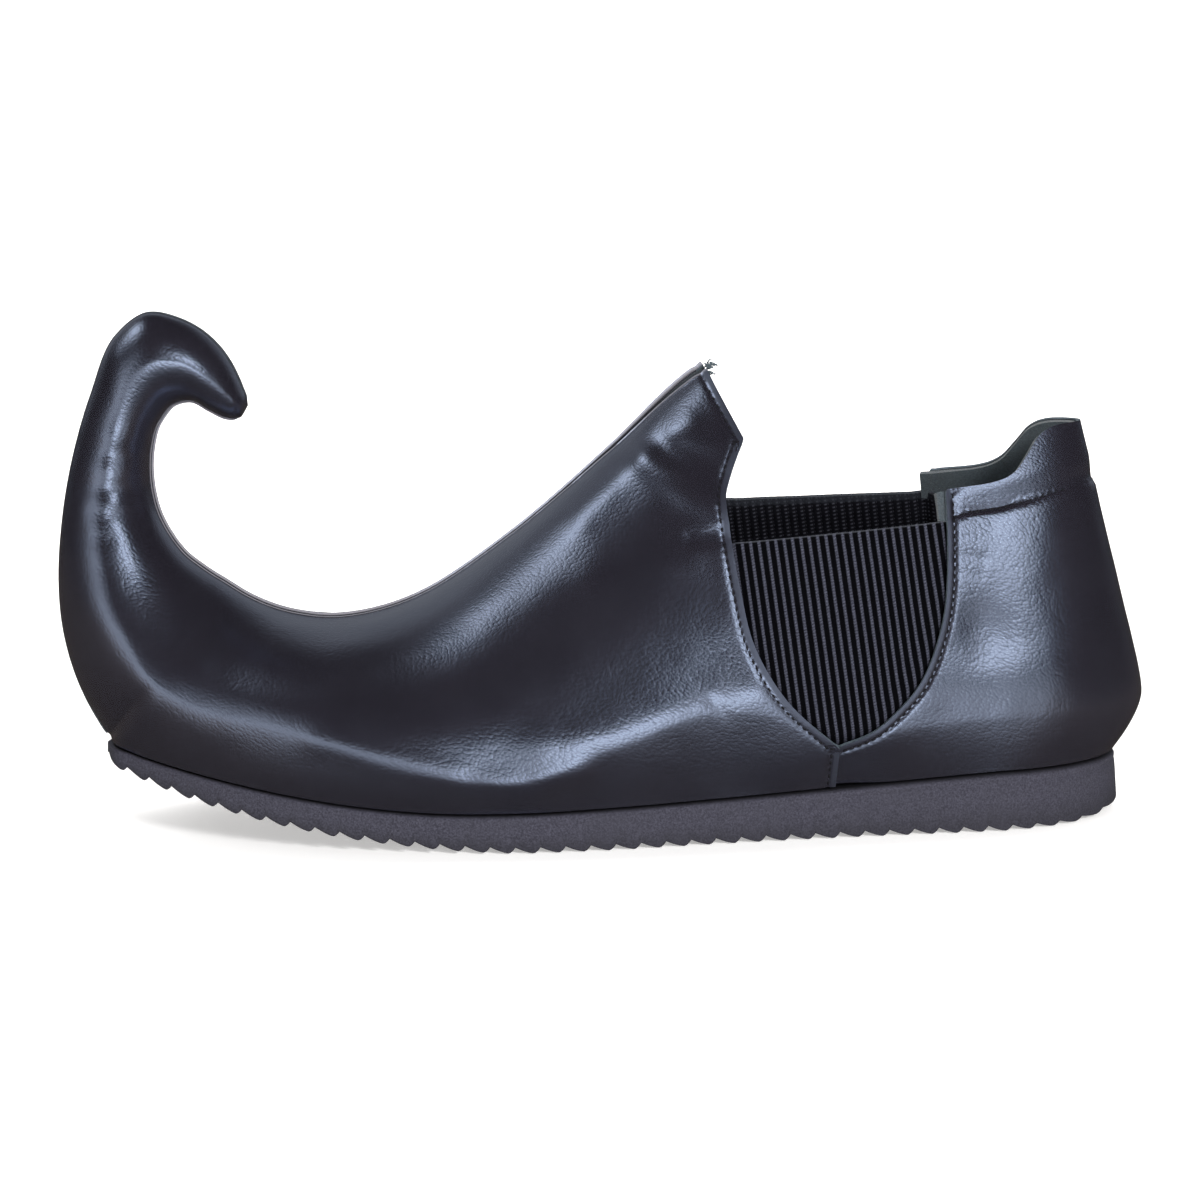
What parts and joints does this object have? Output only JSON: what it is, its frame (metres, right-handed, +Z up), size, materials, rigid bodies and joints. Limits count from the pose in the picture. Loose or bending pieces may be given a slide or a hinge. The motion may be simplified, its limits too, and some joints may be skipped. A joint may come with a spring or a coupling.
{
  "type": "elf shoe",
  "caption": "Black faux-leather slip-on elf shoe for the left foot, with an up-curled toe, V-shaped ribbed elastic side gores, a heel tab and a foam wedge sole with a ripple bottom.",
  "frame": {"origin": "on the floor under the middle of the shoe's bounding box", "axes": "-X to the toe, +X to the heel, +Y to the inner (medial) side, +Z up"},
  "size_m": [0.3188, 0.105, 0.1517],
  "materials": {
    "leather": "smooth grain with a soft sheen",
    "elastic": "ribbed, matte",
    "foam": "matte",
    "liner": "napped, matte"
  },
  "bodies": {
    "root": {"upper": "leather", "gore_lateral": "elastic", "gore_medial": "elastic", "sole": "foam", "insole": "liner"}
  },
  "joints": []
}
